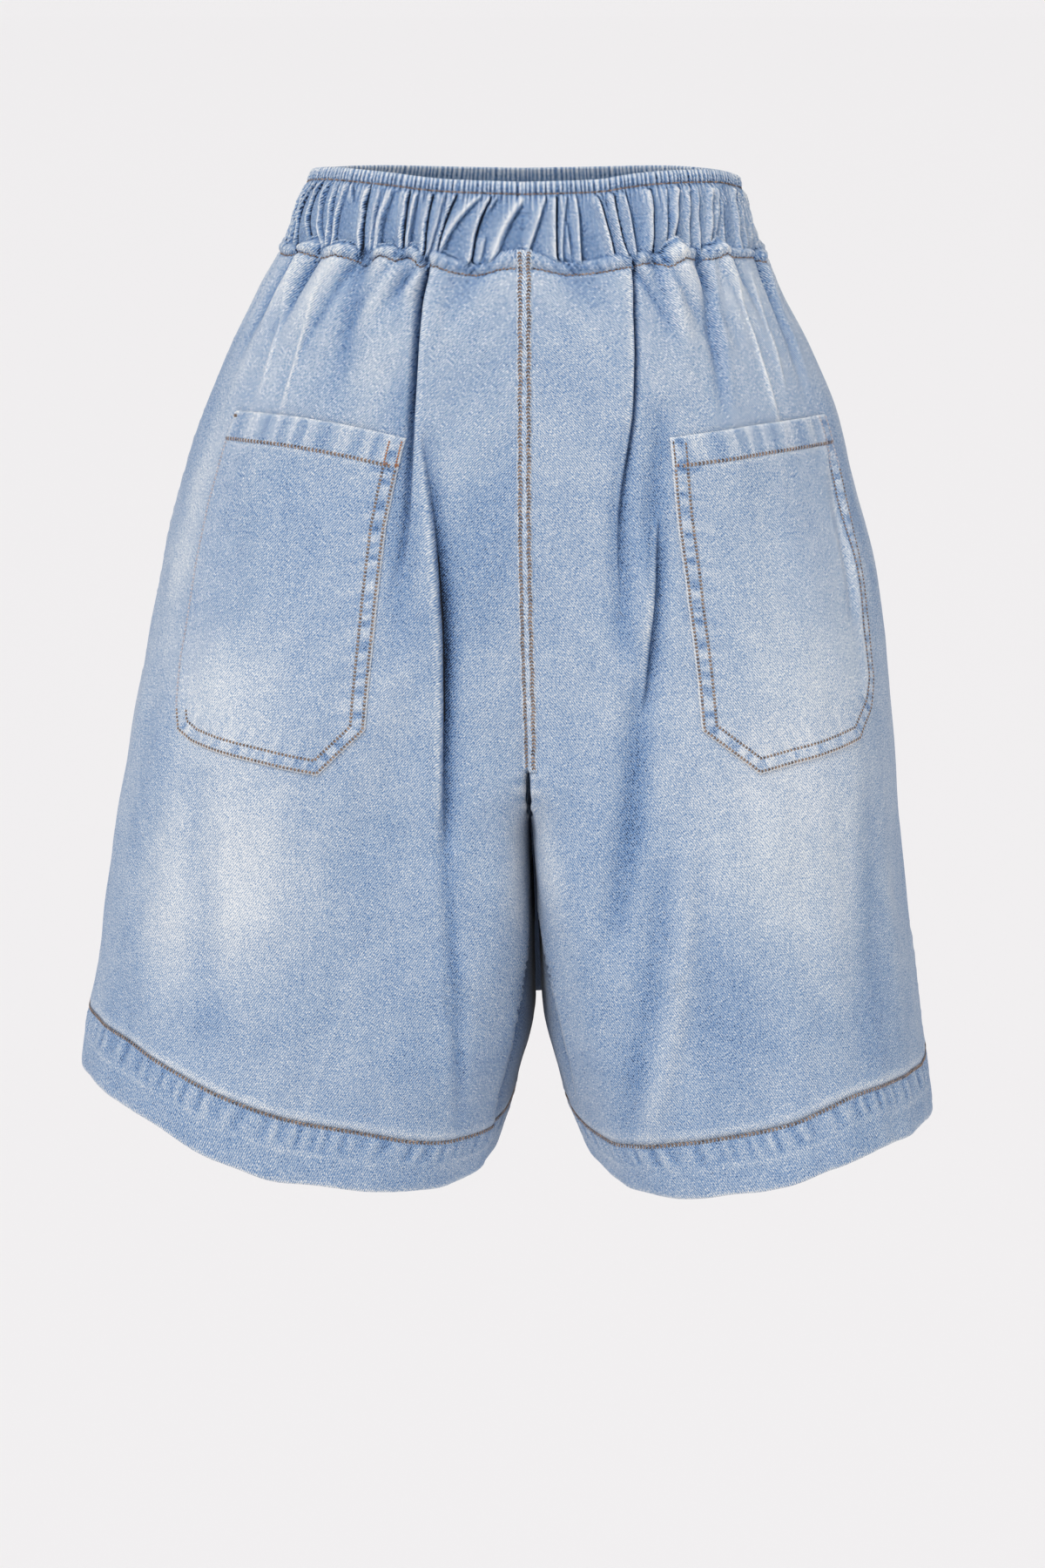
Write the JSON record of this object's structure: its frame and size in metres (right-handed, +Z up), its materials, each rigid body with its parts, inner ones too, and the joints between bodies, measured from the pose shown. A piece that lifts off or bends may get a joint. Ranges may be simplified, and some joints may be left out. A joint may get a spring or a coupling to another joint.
{
  "type": "pair of denim shorts",
  "caption": "Wide-leg denim shorts with a gathered elastic waist, drawstring, patch back pockets and turned-up hems, as worn and hollow.",
  "frame": {"origin": "middle of the waistband, at about half its height, where the wearer holds the shorts up", "axes": "+Z up out of the waist, +Y towards the back of the shorts, +X towards the wearer's left"},
  "size_m": [0.5043, 0.2606, 0.573],
  "materials": {
    "washed_denim": "light blue washed cotton twill, soft and matt, with pale worn thighs and edges",
    "gathered_denim": "washed cotton twill gathered on elastic, pale on its ridges and darker between them",
    "tie_denim": "washed cotton twill turned into a flat stitched tie"
  },
  "bodies": {
    "root": {"back_left": "washed_denim", "back_right": "washed_denim", "front_left": "washed_denim", "front_right": "washed_denim", "hem_left": "washed_denim", "hem_right": "washed_denim", "pocket_left": "washed_denim", "pocket_right": "washed_denim", "waistband": "gathered_denim", "tie_knot": "tie_denim", "tie_tail_left": "tie_denim", "tie_tail_right": "tie_denim"}
  },
  "joints": []
}
